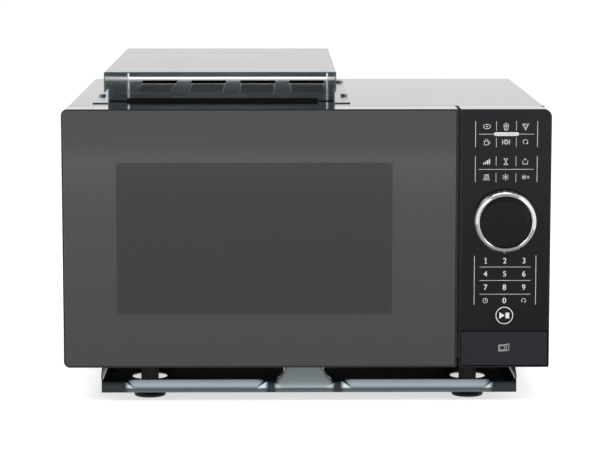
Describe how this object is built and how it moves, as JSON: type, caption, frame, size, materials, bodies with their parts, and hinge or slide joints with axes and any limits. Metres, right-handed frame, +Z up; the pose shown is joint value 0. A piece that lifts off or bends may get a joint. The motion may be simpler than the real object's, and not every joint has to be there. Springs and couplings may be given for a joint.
{
  "type": "microwave oven",
  "caption": "Box-shaped microwave oven with a mirrored glass door, dial and key panel, push-button latch, glass turntable, roof exhaust duct and a pressed mounting tray under its feet.",
  "frame": {"origin": "on the floor under the middle of the whole oven's box, dial and rear screws included", "axes": "+Z up, the door and panel face -Y, +X to the right of someone facing the door"},
  "size_m": [0.485, 0.4312, 0.3325],
  "materials": {
    "moulded_black": "moulded gloss black plastic",
    "door_glass": "mirrored dark grey tempered glass",
    "fascia_black": "printed black acrylic, clear coated",
    "button_black": "fine satin black plastic",
    "galvanised": "galvanised sheet steel",
    "perforated": "perforated black steel screen",
    "clear_sheet": "clear polymer sheet",
    "grey_plastic": "grey nylon",
    "white_plastic": "white polyester moulding",
    "spring_steel": "spring steel wire",
    "case_paint": "gloss black baked enamel on sheet steel",
    "cavity_enamel": "speckled grey oven enamel",
    "mica": "mica sheet",
    "glass_clear": "clear tempered glass",
    "chrome": "bright chrome plating",
    "display": "smoked display window",
    "duct_steel": "smooth blue-grey coated sheet steel",
    "duct_floor": "satin charcoal sheet steel",
    "tray_steel": "gloss blue-grey coated pressing",
    "foot_rubber": "black moulded rubber-tipped foot",
    "screw_zinc": "bright zinc plated",
    "copper": "enamelled copper wire",
    "lamination": "varnished steel laminations",
    "aluminium": "bright aluminium",
    "board_green": "circuit board with solder mask",
    "ceramic": "pink alumina and copper",
    "black_rubber": "moulded black rubber"
  },
  "bodies": {
    "cabinet": {"front_plate": "cavity_enamel", "hinge_brackets": "galvanised", "hinge_pins": "spring_steel", "cavity_liner": "cavity_enamel", "waveguide_cover": "mica", "turntable_motor": "galvanised", "waveguide": "galvanised", "magnetron_yoke": "galvanised", "magnetron_anode": "aluminium", "magnetron_antenna": "ceramic", "magnetron_filter_box": "galvanised", "transformer_core": "lamination", "transformer_windings": "copper", "capacitor": "aluminium", "capacitor_clamp": "galvanised", "diode": "black_rubber", "noise_filter_board": "board_green", "fan_shroud": "grey_plastic", "fan_motor": "lamination", "lamp_holder": "white_plastic", "lamp_bulb": "glass_clear", "interlock_holder": "white_plastic", "interlock_switches": "grey_plastic", "panel_housing": "moulded_black", "panel_fascia": "fascia_black", "button_spring": "spring_steel", "control_board": "board_green", "display_housing": "moulded_black", "display_window": "display", "outer_case": "case_paint", "rear_panel": "case_paint", "cord_gland": "black_rubber", "base_plate": "case_paint", "feet": "foot_rubber", "mounting_tray": "tray_steel", "duct_cover": "duct_steel", "duct_floor_plate": "duct_floor", "vent_screens": "case_paint", "case_screws": "screw_zinc"},
    "door": {"door_bezel": "moulded_black", "door_glass": "door_glass", "door_choke_frame": "galvanised", "door_screen": "perforated", "door_inner_panel": "clear_sheet", "door_choke_cover": "moulded_black", "hinge_bushes": "white_plastic", "latch_spring": "spring_steel"},
    "latch": {"door_latch": "grey_plastic"},
    "dial": {"dial_ring": "chrome", "dial_carrier": "moulded_black"},
    "encoder": {"encoder_pinion": "white_plastic"},
    "button": {"open_button": "button_black"},
    "lever": {"release_lever": "white_plastic"},
    "turntable": {"turntable_coupler": "white_plastic", "glass_tray": "glass_clear"},
    "roller_ring": {"roller_ring": "white_plastic"},
    "wheel_1": {"roller_wheel_1": "white_plastic"},
    "wheel_2": {"roller_wheel_2": "white_plastic"},
    "wheel_3": {"roller_wheel_3": "white_plastic"},
    "fan": {"fan_blade": "white_plastic"}
  },
  "joints": [
    {"name": "door_hinge", "type": "hinge", "parent": "cabinet", "child": "door", "pos_m": [-0.236, -0.1761, 0.1675], "axis": [0, 0, -1], "range_deg": [0, 110]},
    {"name": "latch_slide", "type": "slide", "parent": "door", "child": "latch", "axis": [0, 0, 1], "range_m": [0, 0.0033], "stiffness_N_per_m": 200, "springref_m": -0.003, "deforming": ["latch_spring"]},
    {"name": "dial_turn", "type": "hinge", "parent": "cabinet", "child": "dial", "pos_m": [0.19675, -0.2016, 0.1852], "axis": [0, -1, 0], "continuous": true},
    {"name": "encoder_turn", "type": "hinge", "parent": "cabinet", "child": "encoder", "pos_m": [0.19675, -0.1926, 0.1452], "axis": [0, -1, 0], "continuous": true},
    {"name": "button_press", "type": "slide", "parent": "cabinet", "child": "button", "axis": [0, 1, 0], "range_m": [0, 0.005], "stiffness_N_per_m": 200, "springref_m": -0.004, "deforming": ["button_spring"]},
    {"name": "lever_rock", "type": "hinge", "parent": "cabinet", "child": "lever", "pos_m": [0.1065, -0.1526, 0.072], "axis": [1, 0, 0], "range_deg": [0, 20.6]},
    {"name": "turntable_spin", "type": "hinge", "parent": "cabinet", "child": "turntable", "pos_m": [-0.0518, 0.0042, 0.0775], "axis": [0, 0, 1], "continuous": true},
    {"name": "roller_ring_spin", "type": "hinge", "parent": "cabinet", "child": "roller_ring", "pos_m": [-0.0518, 0.0042, 0.0705], "axis": [0, 0, 1], "continuous": true},
    {"name": "wheel_1_spin", "type": "hinge", "parent": "roller_ring", "child": "wheel_1", "pos_m": [-0.0518, 0.0962, 0.0705], "axis": [0, 1, 0], "continuous": true},
    {"name": "wheel_2_spin", "type": "hinge", "parent": "roller_ring", "child": "wheel_2", "pos_m": [-0.13147, -0.0418, 0.0705], "axis": [-0.866, -0.5, 0], "continuous": true},
    {"name": "wheel_3_spin", "type": "hinge", "parent": "roller_ring", "child": "wheel_3", "pos_m": [0.02787, -0.0418, 0.0705], "axis": [0.866, -0.5, 0], "continuous": true},
    {"name": "fan_spin", "type": "hinge", "parent": "cabinet", "child": "fan", "pos_m": [0.17278, 0.1564, 0.1915], "axis": [0, 1, 0], "continuous": true}
  ],
  "couplings": [
    {"joint": "encoder_turn", "follows": "dial_turn", "ratio": -3},
    {"joint": "lever_rock", "follows": "button_press", "rad_per_m": 71.429},
    {"joint": "latch_slide", "follows": "button_press", "ratio": 0.66},
    {"joint": "roller_ring_spin", "follows": "turntable_spin", "ratio": 0.5},
    {"joint": "wheel_1_spin", "follows": "turntable_spin", "ratio": -6.5714},
    {"joint": "wheel_2_spin", "follows": "turntable_spin", "ratio": -6.5714},
    {"joint": "wheel_3_spin", "follows": "turntable_spin", "ratio": -6.5714}
  ]
}
